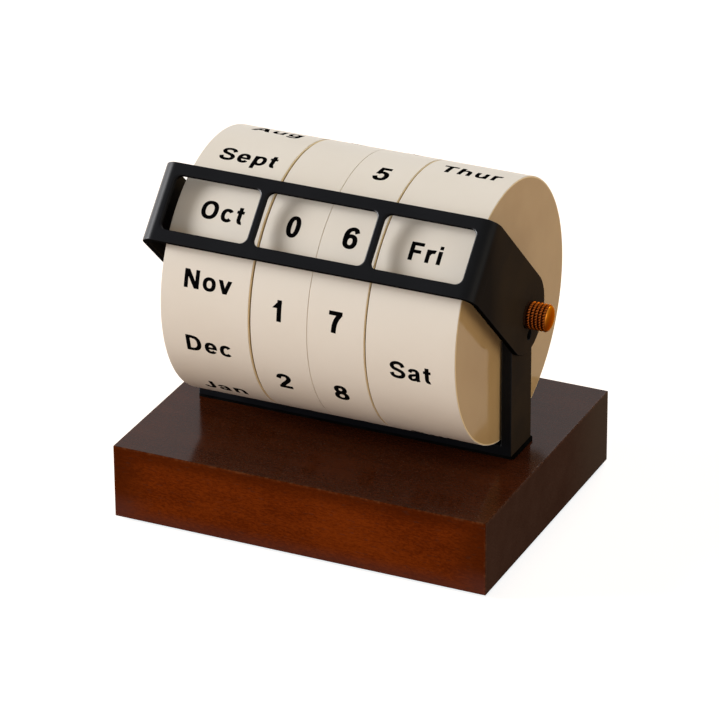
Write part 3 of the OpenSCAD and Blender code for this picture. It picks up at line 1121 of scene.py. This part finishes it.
@dataclass(frozen=True)
class Bowl:
    """A part of an oval ring, from one angle to another in degrees."""

    x: float
    y: float
    wide: float
    tall: float
    start: float = 0.0
    stop: float = 360.0
    side: float = 19.5
    cap: float = 15.5
    squareness: float = 2.25
    fewest: int = 6
    sector: float = 9.0

    def polygons(self) -> list[list[Point]]:
        """Returns the ring's sectors."""
        count = max(self.fewest, round(abs(self.stop - self.start) / self.sector))
        swing = self.stop - self.start
        turns = [math.radians(self.start + swing * i / count) for i in range(count + 1)]
        outer = [self._at(a, self.wide, self.tall) for a in turns]
        side, cap = self.side * BOLDNESS, self.cap * BOLDNESS
        inner = [self._at(a, self.wide - side, self.tall - cap) for a in turns]
        return [[outer[i], outer[i + 1], inner[i + 1], inner[i]] for i in range(count)]

    def _at(self, angle: float, wide: float, tall: float) -> Point:
        """Returns a point of a slightly squared oval."""
        power = 2 / self.squareness
        c, s = math.cos(angle), math.sin(angle)
        x = self.x + wide * math.copysign(abs(c) ** power, c)
        return x, self.y + tall * math.copysign(abs(s) ** power, s)


@dataclass(frozen=True)
class Sweep:
    """A stroke of even weight along a smooth line through a few points."""

    knots: tuple[Point, ...]
    side: float = 19.5
    cap: float = 15.5
    steps: int = 5

    def polygons(self) -> list[list[Point]]:
        """Returns the stroke's quads."""
        line = self._line()
        left, right = [], []
        for i, point in enumerate(line):
            before, after = line[max(i - 1, 0)], line[min(i + 1, len(line) - 1)]
            along = (after - before).normalized()
            out = Vector((-along.y * self.side, along.x * self.cap)) * BOLDNESS / 2
            left.append(tuple(point + out))
            right.append(tuple(point - out))
        return [[right[i], right[i + 1], left[i + 1], left[i]] for i in range(len(line) - 1)]

    def _line(self) -> list[Vector]:
        """Returns points of the smooth line through the knots."""
        knots = [Vector(k) for k in self.knots]
        padded = [2 * knots[0] - knots[1]] + knots + [2 * knots[-1] - knots[-2]]
        points = []
        for a, b, c, d in zip(padded, padded[1:], padded[2:], padded[3:]):
            for i in range(self.steps):
                t = i / self.steps
                points.append(0.5 * (
                    2 * b + (c - a) * t + (2 * a - 5 * b + 4 * c - d) * t * t
                    + (3 * b - a - 3 * c + d) * t ** 3
                ))
        return points + [knots[-1]]


Stroke = Bar | Slant | Bowl | Sweep
S_LINE = ((78, 70), (68, 86), (46, 92.5), (24, 87), (16, 73), (25, 59), (47, 51), (70, 42), (79, 27.5),
          (70, 12), (47, 7), (23, 13), (13.5, 31))
SMALL_S_LINE = ((63.5, 50), (55, 61.5), (38, 66), (21, 62), (15.5, 52.5), (23, 43.5), (39, 38), (57, 31),
                (63.5, 20.5), (56, 10.5), (38, 6.5), (19, 11.5), (11.5, 23))
RING = Bowl(45, 36.5, 36, 38)
ARCH = (Bowl(43.5, 41, 33.5, 33, 0, 180), Bar(57.5, 0, 77, 42))

# Width and strokes of each letter, in hundredths of the capitals' height
GLYPHS: dict[str, tuple[float, tuple[Stroke, ...]]] = {
    "A": (101, (Slant(0, 0, 39, 100, 22), Slant(79, 0, 40, 100, 22), Bar(24, 22, 77, 39))),
    "D": (101, (Bar(9, 0, 29.5, 100), Bar(9, 83.5, 46, 100), Bar(9, 0, 46, 16.5),
                Bowl(45, 50, 49.5, 50, -90, 90, 21, 16.5))),
    "F": (85, (Bar(9.5, 0, 30, 100), Bar(9.5, 83.5, 79, 100), Bar(9.5, 42, 71, 58))),
    "J": (78, (Bar(48.5, 30, 69, 100), Bowl(37, 31, 32, 32.5, 180, 360, 20.5, 17))),
    "M": (116, (Bar(9, 0, 28, 100), Bar(88, 0, 107, 100), Slant(47.5, 0, 9, 100, 22),
                Slant(46.5, 0, 85, 100, 22))),
    "N": (101, (Bar(9, 0, 28.5, 100), Bar(72.5, 0, 92, 100), Slant(68, 0, 9, 100, 24))),
    "O": (109, (Bowl(54.5, 50, 48, 51.5, side=21.5, cap=17),)),
    "S": (93, (Sweep(S_LINE, 20.5, 16),)),
    "T": (85, (Bar(3, 83.5, 82, 100), Bar(32.3, 0, 52.7, 100))),
    "W": (132, (Slant(22, 0, 0.5, 100, 20.5), Slant(24, 0, 55, 100, 20.5), Slant(87, 0, 56, 100, 20.5),
                Slant(89, 0, 110.5, 100, 20.5))),
    "a": (78, (Sweep(((12.5, 51), (20, 62.5), (37, 66.5), (52, 61.5), (57, 47), (57, 15), (61, 0)),
                     19.5, 14),
               Sweep(((57, 41), (37, 36.5), (19.5, 31.5), (14, 20), (19.5, 10), (31, 6.5), (46, 11),
                      (57, 24)), 19, 13))),
    "b": (85, (Bar(8.5, 0, 28, 100), RING)),
    "c": (78, (Bowl(40.5, 36.5, 35.5, 38, 38, 322),)),
    "d": (85, (Bar(57, 0, 76.5, 100), Bowl(40, 36.5, 36, 38))),
    "e": (78, (Bowl(39, 36.5, 35.5, 38, -10, 325), Bar(14, 30, 73, 42.5))),
    "g": (85, (Bar(57, -6, 76.5, 72.5), Bowl(40, 37, 36, 37.5),
               Bowl(41, -5, 35.5, 24, 188, 360, 19.5, 14))),
    "h": (85, (Bar(8.5, 0, 28, 100),) + ARCH),
    "i": (39, (Bar(9.8, 0, 29.3, 72.5), Bar(9.8, 83, 29.3, 100))),
    "l": (39, (Bar(9.8, 0, 29.3, 100),)),
    "n": (85, (Bar(8.5, 0, 28, 72.5),) + ARCH),
    "o": (85, (Bowl(42.5, 36.5, 37.5, 38),)),
    "p": (85, (Bar(8.5, -27.5, 28, 72.5), RING)),
    "r": (54, (Bar(8.5, 0, 28, 72.5), Bowl(48, 42, 39, 32, 76, 180, 20, 17.5))),
    "s": (78, (Sweep(SMALL_S_LINE, 18.5, 14.5),)),
    "t": (47, (Bar(12.5, 18, 32, 92), Bar(2, 58, 44, 72.5),
               Bowl(37, 19.5, 24.5, 20.5, 180, 285, 19.5, 15))),
    "u": (85, (Bar(57, 0, 76.5, 72.5), Bar(8.5, 30, 28, 72.5), Bowl(42, 31.5, 33.5, 33, 180, 360))),
    "v": (78, (Slant(28.5, 0, 1.5, 72.5), Slant(28.5, 0, 55.5, 72.5))),
    "y": (78, (Slant(30, 0, 1.5, 72.5), Slant(18.5, -27.5, 55.5, 72.5, 20.5),
               Bar(7, -27.5, 30, -12.5))),
    "0": (78, (Bowl(39, 50, 32.5, 51.5, side=20, cap=16.5),)),
    "1": (78, (Bar(35, 0, 54.5, 100), Slant(12, 62, 35, 88, 22), Slant(34, 80, 38, 100, 16))),
    "2": (78, (Sweep(((14, 68), (20, 86), (38, 92), (57, 86.5), (63, 71), (55, 54), (36, 34), (18, 9)),
                     20, 16.5),
               Bar(7, 0, 72, 17))),
    "3": (78, (Sweep(((13.5, 73), (21, 87.5), (37, 92), (54, 87.5), (60, 74), (53, 61), (34, 56.5)),
                     20, 16),
               Sweep(((34, 54), (55, 49.5), (63.5, 30.5), (56, 12.5), (37, 7), (20, 12), (12.5, 28)),
                     20, 16))),
    "4": (78, (Bar(42, 0, 61.5, 100), Bar(4, 20, 75, 36.5), Slant(4, 28, 43, 100, 18.5))),
    "5": (78, (Bar(18, 83, 69, 100), Slant(10, 46, 18.5, 100, 17.5),
               Sweep(((18, 50), (27, 57.5), (40, 60), (57, 52.5), (63.5, 33.5), (56, 13), (37, 7),
                      (20, 11.5), (12, 28)), 20, 16))),
    "6": (78, (Bowl(39.5, 33, 34.5, 34.5, side=20, cap=16),
               Sweep(((64.5, 74), (56, 88.5), (41, 92.5), (24, 83.5), (16, 64), (15, 33)), 20, 16))),
    "7": (78, (Bar(7, 83, 72, 100), Sweep(((62, 90), (46, 66), (36, 38), (32, 0)), 20.5, 18))),
    "8": (78, (Bowl(39, 74, 31, 27, side=19.5, cap=15.5), Bowl(39, 29, 35, 30.5, side=20, cap=16))),
    "9": (78, (Bowl(38.5, 67, 34.5, 34.5, side=20, cap=16),
               Sweep(((13.5, 26), (22, 11.5), (37, 7.5), (54, 16.5), (62, 36), (63, 67)), 20, 16))),
}


@dataclass(frozen=True)
class Lettering:
    """Printed words on a drum, wrapped round it in thin ink."""

    height: float
    tracking: float = 9.0
    slice_height: float = 0.4 * MM
    ink: float = 0.03 * MM
    snap: float = 0.01
    straight: float = math.radians(1)

    def word(self, text: str, x: float, angle: float, radius: float, axle_z: float) -> bmesh.types.BMesh:
        """Makes one word as thin ink round the drum.

        Args:
            text: The word, in letters that GLYPHS holds.
            x: Middle of the word along the axle.
            angle: Angle of its mid height above the front horizon.
            radius: Radius of the ink's outside.
            axle_z: Height of the axle.

        Returns:
            The closed ink of the word.
        """
        bm = self._flat(text)
        tallest = max(v.co.y for v in bm.verts)
        lowest = min(v.co.y for v in bm.verts)
        for i in range(1, int((tallest - lowest) / self.slice_height) + 1):
            bmesh.ops.bisect_plane(
                bm, geom=bm.verts[:] + bm.edges[:] + bm.faces[:], dist=SLICE_MERGE,
                plane_co=(0, lowest + i * self.slice_height, 0), plane_no=(0, 1, 0),
            )
        grown = bmesh.ops.extrude_face_region(bm, geom=bm.faces[:], use_keep_orig=True)["geom"]
        for vert in grown:
            if isinstance(vert, bmesh.types.BMVert):
                vert.co.z += self.ink
        bmesh.ops.recalc_face_normals(bm, faces=bm.faces)
        for vert in bm.verts:
            lift = vert.co.z - self.ink
            vert.co = turned_point(x + vert.co.x, radius + lift, angle + vert.co.y / radius, axle_z)
        bmesh.ops.recalc_face_normals(bm, faces=bm.faces)
        return bm

    def _flat(self, text: str) -> bmesh.types.BMesh:
        """Returns a word's flat outline as one clean sheet, centred on the origin."""
        unit = self.height / CAPITAL
        wide = sum(GLYPHS[c][0] for c in text) + self.tracking * (len(text) - 1)
        bm = bmesh.new()
        pen = -wide / 2
        for letter in text:
            advance, strokes = GLYPHS[letter]
            quads = [quad for stroke in strokes for quad in stroke.polygons()]
            points = [Vector((pen + x, y - CAPITAL / 2)) for quad in quads for x, y in quad]
            faces = [[4 * i, 4 * i + 1, 4 * i + 2, 4 * i + 3] for i in range(len(quads))]
            corners, _, triangles, _, _, sources = delaunay_2d_cdt(points, [], faces, 1, self.snap)
            verts = [bm.verts.new((c.x * unit, c.y * unit, 0)) for c in corners]
            for triangle, source in zip(triangles, sources):
                if source:
                    bm.faces.new([verts[i] for i in triangle])
            pen += advance + self.tracking
        loose = [v for v in bm.verts if not v.link_faces]
        bmesh.ops.delete(bm, geom=loose, context="VERTS")
        bmesh.ops.dissolve_limit(
            bm, angle_limit=self.straight, use_dissolve_boundaries=False,
            verts=bm.verts, edges=bm.edges,
        )
        return bm


class DrumName(Enum):
    """The four drums, from left to right."""

    MONTH = "month"
    TENS = "tens"
    UNITS = "units"
    WEEKDAY = "weekday"


@dataclass
class Drum(SubAssembly):
    """One lettered drum: its shell, its end cap, its printed band and the words on it.

    Attributes:
        name: Which drum it is.
        words: Its words, in order round it.
        shown: The place of the word that shows at rest.
        letter_height: Height of the capitals.
        shift: How far the words stand right of the band's middle.
        rest_line: Angle of the shown word above the front horizon, in degrees.
        bare: Width of the cap's rim beside the band.
        lead: Width of the shell's rim beside the band.
        more: How much further the left and right rims reach than the solids.
    """

    name: DrumName
    words: tuple[str, ...]
    shown: int
    letter_height: float
    shift: float = 0.0
    rest_line: float = 45.0
    bare: float = 0.1 * MM
    lead: float = 0.1 * MM
    more: tuple[float, float] = (0.0, 0.0)
    rim: float = 0.15 * MM
    wall: float = 2.0 * MM
    web: float = 1.8 * MM
    hub: float = 7.05 * MM
    hub_clear: float = 0.5 * MM
    bore: float = 4.05 * MM
    skin: float = 0.02 * MM
    soft: float = 0.06 * MM
    glue: float = 0.01 * MM
    # Width of the painted highlight on the plastic's outer rim
    lit_rim_width: float = 0.4 * MM
    rim_steps: int = 5
    bare_steps: int = 6
    soft_steps: int = 3
    steps: int = 240

    def build(self) -> None:
        """Turns the three pieces of the drum and prints its words."""
        name = self.name.value
        low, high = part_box(f"{name}_drum_shell")
        _, cap_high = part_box(f"{name}_drum_cap")
        band_low, band_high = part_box(f"{name}_label")
        self.axle_z = middle("axle").z
        self.radius = (high.z - low.z) / 2
        left, right, seam = low.x - self.more[0], cap_high.x + self.more[1], high.x
        outer = (band_high.z - band_low.z) / 2 - self.skin
        body = f"{name}_drum"
        self.shell = self.add(
            lathe(self._shell_profile(left, seam), self.axle_z, self.steps, True),
            f"{name}_shell", body, "drum_plastic", [f"{name}_drum_shell"],
        )
        self.cap = self.add(
            lathe(self._cap_profile(seam, right), self.axle_z, self.steps, True),
            f"{name}_cap", body, "drum_plastic", [f"{name}_drum_cap"],
        )
        band = self._band_profile(left + self.lead, right - self.bare, outer)
        self.band = self.add(
            lathe(band, self.axle_z, self.steps, True),
            f"{name}_band", body, "label_film", [f"{name}_label"],
        )
        for piece in (self.shell, self.cap, self.band):
            self.even_shading(piece)
        centre = (band_low.x + band_high.x) / 2 + self.shift
        self.print = self.add(
            self._print(centre, outer + self.skin / 2), f"{name}_print", body, None, crease=30.0
        )

    def _shell_profile(self, left: float, seam: float) -> list[Point]:
        """Returns the shell's outline: web, rounded rim, wall and hub."""
        centre = (left + self.rim, self.radius - self.rim)
        corner = arc_points(centre, self.rim, 180, 90, self.rim_steps)
        inside = self.radius - self.wall
        return self._hub_face(left, self.more[0]) + corner + [
            (seam, self.radius), (seam, inside), (left + self.web, inside), (left + self.web, self.hub),
            (seam, self.hub), (seam, self.bore),
        ]

    def _cap_profile(self, seam: float, right: float) -> list[Point]:
        """Returns the end cap's outline, with its bare rim rounded."""
        centre = (right - self.bare, self.radius - self.bare)
        corner = arc_points(centre, self.bare, 90, 0, self.bare_steps)
        face = self._hub_face(right, -self.more[1])
        return [(seam, self.bore), (seam, self.radius)] + corner + face[::-1]

    def _hub_face(self, end: float, back: float) -> list[Point]:
        """Returns an end face from the bore outwards, set back round the hub to clear its washer."""
        if not back:
            return [(end, self.bore)]
        step = self.hub + self.hub_clear
        return [(end + back, self.bore), (end + back, step), (end, step)]

    def _band_profile(self, left: float, right: float, outer: float) -> list[Point]:
        """Returns the printed band's outline, with softened edges."""
        soft = self.soft
        under = self.radius + self.glue
        first = arc_points((left + soft, outer - soft), soft, 180, 90, self.soft_steps)
        second = arc_points((right - soft, outer - soft), soft, 90, 0, self.soft_steps)
        return [(left, under)] + first + second + [(right, under)]

    def _print(self, x: float, radius: float) -> bmesh.types.BMesh:
        """Returns all the drum's words, evenly round it, with the shown one on the reading line."""
        lettering = Lettering(self.letter_height)
        bm = bmesh.new()
        for i, word in enumerate(self.words):
            if not word:
                continue
            angle = math.radians(self.rest_line) + (self.shown - i) * FULL_TURN / len(self.words)
            part = lettering.word(word, x, angle, radius, self.axle_z)
            mesh = bpy.data.meshes.new("word")
            part.to_mesh(mesh)
            part.free()
            bm.from_mesh(mesh)
            bpy.data.meshes.remove(mesh)
        return bm

    def dress(self) -> None:
        """Gives the plastic, the film and the ink their finishes."""
        plastic = Moulded("tan_plastic", self.axle_z, self.radius - self.lit_rim_width)
        self.paint(self.shell, plastic)
        self.paint(self.cap, plastic)
        self.paint(self.band, Film("ivory_film"))
        self.paint(self.print, Ink("black_ink"))


@dataclass
class AxleSet(SubAssembly):
    """The axle, its spacer and washers, which keep their turned shapes."""

    washers: tuple[str, ...] = (
        "left_spacer", "month_washer", "tens_washer", "units_washer", "weekday_washer"
    )

    def build(self) -> None:
        """Reports the carried-over pieces."""
        LOG.info("axle and %d washers kept as turned", len(self.washers))

    def dress(self) -> None:
        """Gives the axle its turned steel and the washers their nylon."""
        self.paint(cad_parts["axle"], Steel("axle_steel"))
        nylon = SoftGrain(
            "pale_nylon", rgb(0.62, 0.58, 0.50), rgb(0.72, 0.69, 0.62),
            grain=1800, depth=0.01 * MM, rough=0.5,
        )
        for washer in self.washers:
            self.paint(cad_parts[washer], nylon)


@dataclass
class Knob(SubAssembly):
    """One brass thumb nut with knurled rings, and the washer under it."""

    side: str
    rings: int = 5
    ring_length: float = 6.0 * MM
    groove: float = 0.4 * MM
    thread: float = 2.53 * MM
    thread_depth: float = 5.0 * MM
    dome_steps: int = 14
    teeth: int = 28
    tooth_depth: float = 0.32 * MM
    facets_per_tooth: int = 6
    bead_points: int = 8
    least_tooth: float = 0.02

    def build(self) -> None:
        """Turns the nut and cuts the teeth into its rings."""
        low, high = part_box(f"{self.side}_knob")
        self.axle_z = middle(f"{self.side}_knob").z
        self.crest = (high.z - low.z) / 2
        self.floor = self.crest - self.groove
        way = 1 if self.side == "right" else -1
        start = low.x if way > 0 else high.x
        length = high.x - low.x
        self.tip = abs(start) + self.ring_length
        profile = [(start + way * x, r) for x, r in self._profile(length)]
        bm = lathe(profile, self.axle_z, self.teeth * self.facets_per_tooth, False)
        for vert in bm.verts:
            self._cut_tooth(vert, abs(vert.co.x - start))
        bmesh.ops.recalc_face_normals(bm, faces=bm.faces)
        self.nut = self.add(
            bm, f"{self.side}_nut", f"{self.side}_knob", "knob_brass", [f"{self.side}_knob"],
            crease=55.0,
        )

    def _profile(self, length: float) -> list[Point]:
        """Returns the nut's outline from the bottom of its thread, round the outside, to its tip."""
        pitch = self.ring_length / self.rings
        points = [
            (self.thread_depth, 0.0), (self.thread_depth, self.thread), (0.0, self.thread),
            (0.0, self.floor),
        ]
        for ring in range(self.rings):
            for i in range(1, self.bead_points):
                t = i / self.bead_points
                rise = self.groove * math.sqrt(1 - (2 * t - 1) ** 2)
                points.append(((ring + t) * pitch, self.floor + rise))
            points.append(((ring + 1) * pitch, self.floor))
        for i in range(1, self.dome_steps):
            turn = math.pi / 2 * i / self.dome_steps
            reach = (length - self.ring_length) * math.sin(turn)
            points.append((self.ring_length + reach, self.floor * math.cos(turn)))
        return points + [(length, 0.0)]

    def _cut_tooth(self, vert: bmesh.types.BMVert, along: float) -> None:
        """Draws a point of a ring inwards where it lies between two teeth."""
        offset = Vector((0, vert.co.y, vert.co.z - self.axle_z))
        height = (offset.length - self.floor) / self.groove
        if height <= self.least_tooth or along > self.ring_length:
            return
        pitch = self.ring_length / self.rings
        lean = (along / pitch) % 1 - 0.5
        angle = math.atan2(offset.z, offset.y)
        wave = 0.5 - 0.5 * math.cos(self.teeth * angle + lean * math.pi)
        shrink = self.tooth_depth * height * wave / offset.length
        vert.co -= offset * shrink

    def dress(self) -> None:
        """Gives the nut its brass and the washer its coat."""
        brass = Brass(f"{self.side}_brass", self.axle_z, self.floor, self.crest, self.tip)
        self.paint(self.nut, brass)
        coat = Coated("washer_coat", WASHER_BROWN, WASHER_BROWN)
        self.paint(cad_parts[f"{self.side}_knob_washer"], coat)


@dataclass(frozen=True)
class Lamp:
    """One soft box: where it stands, its size, how bright it makes a facing card, and its colour."""

    name: str
    place: tuple[float, float, float]
    size: tuple[float, float]
    level: float
    colour: tuple[float, float, float] = (1.0, 1.0, 1.0)

    def light(self, target: Vector) -> None:
        """Adds the lamp, pointed at the target."""
        data = bpy.data.lights.new(self.name, "AREA")
        data.shape = "RECTANGLE"
        data.size, data.size_y = self.size
        data.color = self.colour
        distance = (Vector(self.place) - target).length
        data.energy = self.level * math.pi ** 2 * distance ** 2
        lamp = bpy.data.objects.new(self.name, data)
        lamp.location = self.place
        lamp.rotation_mode = "QUATERNION"
        lamp.rotation_quaternion = (target - Vector(self.place)).to_track_quat("-Z", "Y")
        bpy.context.scene.collection.objects.link(lamp)


@dataclass
class Studio:
    """The pale floor, the soft light and the camera."""

    floor_half: float = 4.0
    floor_colour: Colour = rgb(0.55, 0.405, 0.29)
    floor_glow: Colour = rgb(0.76, 0.81, 0.845)
    sky_level: float = 0.18
    sky_colour: Colour = rgb(1.06, 0.94, 0.76)
    target: Vector = field(default_factory=lambda: Vector((0, 0, 0.06)))
    lamps: tuple[Lamp, ...] = (
        Lamp("raking_window", (-2.250, -0.850, 0.780), (0.85, 0.85), 1.42),
        Lamp("top_box", (0.10, 1.20, 1.15), (0.9, 0.9), 0.48),
        Lamp("front_box", (0.45, -1.4, 0.35), (1.0, 0.6), 0.085, (0.86, 0.97, 1.18)),
        Lamp("warm_fill", (1.35, -0.25, 0.45), (0.9, 0.9), 0.285, (1.0, 0.87, 0.68)),
    )
    azimuth: float = math.radians(24.96)
    elevation: float = math.radians(26.281)
    roll: float = math.radians(-0.417)
    side: float = -1.15 * MM
    rise: float = 38.43 * MM
    reach: float = 1390.05 * MM
    felt: float = 1.0 * MM
    lens: float = 230.025
    sensor: float = 36.0
    clip: Span = (0.05, 20.0)

    def build(self) -> None:
        """Sets up the floor, the world, the lamps and the camera."""
        self._floor()
        self._world()
        for lamp in self.lamps:
            lamp.light(self.target)
        self._camera()
        bpy.context.scene.view_settings.view_transform = "Standard"

    @staticmethod
    def _seen(graph: Graph) -> Value:
        """Returns 1 for rays that show the background: camera, glossy and transmission rays."""
        path = graph.node("ShaderNodeLightPath").outputs
        camera, glossy = Value(graph, path["Is Camera Ray"]), Value(graph, path["Is Glossy Ray"])
        return camera.high(glossy).high(Value(graph, path["Is Transmission Ray"]))

    def _floor(self) -> None:
        """Lays the pale floor, which keeps the object's shadow."""
        bm = bmesh.new()
        bmesh.ops.create_grid(bm, x_segments=1, y_segments=1, size=self.floor_half)
        mesh = bpy.data.meshes.new("floor")
        bm.to_mesh(mesh)
        bm.free()
        material = bpy.data.materials.new("floor_paper")
        material.use_nodes = True
        graph = Graph(material.node_tree)
        paper = graph.node("ShaderNodeBsdfDiffuse", None, {"Color": self.floor_colour})
        glow = graph.node(
            "ShaderNodeEmission", None, {"Color": self.floor_glow, "Strength": self._seen(graph)}
        )
        both = graph.node("ShaderNodeAddShader", None, {0: paper.outputs[0], 1: glow.outputs[0]})
        graph.node("ShaderNodeOutputMaterial", None, {"Surface": both.outputs[0]})
        mesh.materials.append(material)
        floor = bpy.data.objects.new("floor", mesh)
        bpy.context.scene.collection.objects.link(floor)

    def _world(self) -> None:
        """Lights the scene evenly, and shows white where a ray meets the background."""
        world = bpy.data.worlds.new("studio")
        world.use_nodes = True
        graph = Graph(world.node_tree)
        seen = self._seen(graph)
        level = self.sky_level + seen * (1 - self.sky_level)
        tint = graph.mix(seen, self.sky_colour, WHITE)
        sky = graph.node("ShaderNodeBackground", None, {"Color": tint, "Strength": level})
        graph.node("ShaderNodeOutputWorld", None, {"Surface": sky.outputs[0]})
        bpy.context.scene.world = world

    def _camera(self) -> None:
        """Stands the camera at the viewing angle."""
        level = math.cos(self.elevation)
        east, north = math.cos(self.azimuth), math.sin(self.azimuth)
        back = Vector((north * level, -east * level, math.sin(self.elevation)))
        right = Matrix.Rotation(self.roll, 3, back) @ Vector((east, north, 0))
        up = back.cross(right)
        data = bpy.data.cameras.new("camera")
        data.sensor_width = self.sensor
        data.lens = self.lens
        data.clip_start, data.clip_end = self.clip
        camera = bpy.data.objects.new("camera", data)
        place = right * self.side + up * self.rise + back * self.reach + Vector((0, 0, self.felt))
        camera.matrix_world = Matrix.Translation(place) @ Matrix((right, up, back)).transposed().to_4x4()
        bpy.context.scene.collection.objects.link(camera)
        bpy.context.scene.camera = camera


MONTHS = ("Jan", "Feb", "Mar", "Apr", "May", "June", "July", "Aug", "Sept", "Oct", "Nov", "Dec")
WEEKDAYS = ("Sun", "Mon", "Tues", "Wed", "Thur", "Fri", "Sat")
TENS = ("0", "1", "2", "3", "") * 2
UNITS = tuple("0123456789")


def sub_assemblies() -> list[SubAssembly]:
    """Returns the calendar's sub-assemblies, in the order they are built."""
    word, digit = 5.6 * MM, 6.55 * MM
    return [
        Base(),
        Bracket(),
        AxleSet(),
        Drum(
            DrumName.MONTH, MONTHS, MONTHS.index("Oct"), word,
            shift=0.55 * MM, rest_line=45.8, bare=0.3 * MM,
        ),
        Drum(
            DrumName.TENS, TENS, TENS.index("0"), digit,
            shift=-0.25 * MM, rest_line=45.2, bare=0.03 * MM, more=(0.0, 0.1 * MM),
        ),
        Drum(
            DrumName.UNITS, UNITS, UNITS.index("6"), digit,
            shift=-0.3 * MM, bare=0.25 * MM, lead=0.03 * MM, more=(0.1 * MM, 0.1 * MM),
        ),
        Drum(
            DrumName.WEEKDAY, WEEKDAYS, WEEKDAYS.index("Fri"), word,
            shift=-0.1 * MM, rest_line=44.5,
        ),
        WindowFrame(),
        Knob("left"),
        Knob("right"),
    ]


def main() -> None:
    """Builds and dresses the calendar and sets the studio."""
    logging.basicConfig(level=logging.INFO, format="%(name)s %(message)s")
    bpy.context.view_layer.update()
    for part in sub_assemblies():
        part.build()
        part.dress()
    Studio().build()


if __name__ == "__main__":
    main()
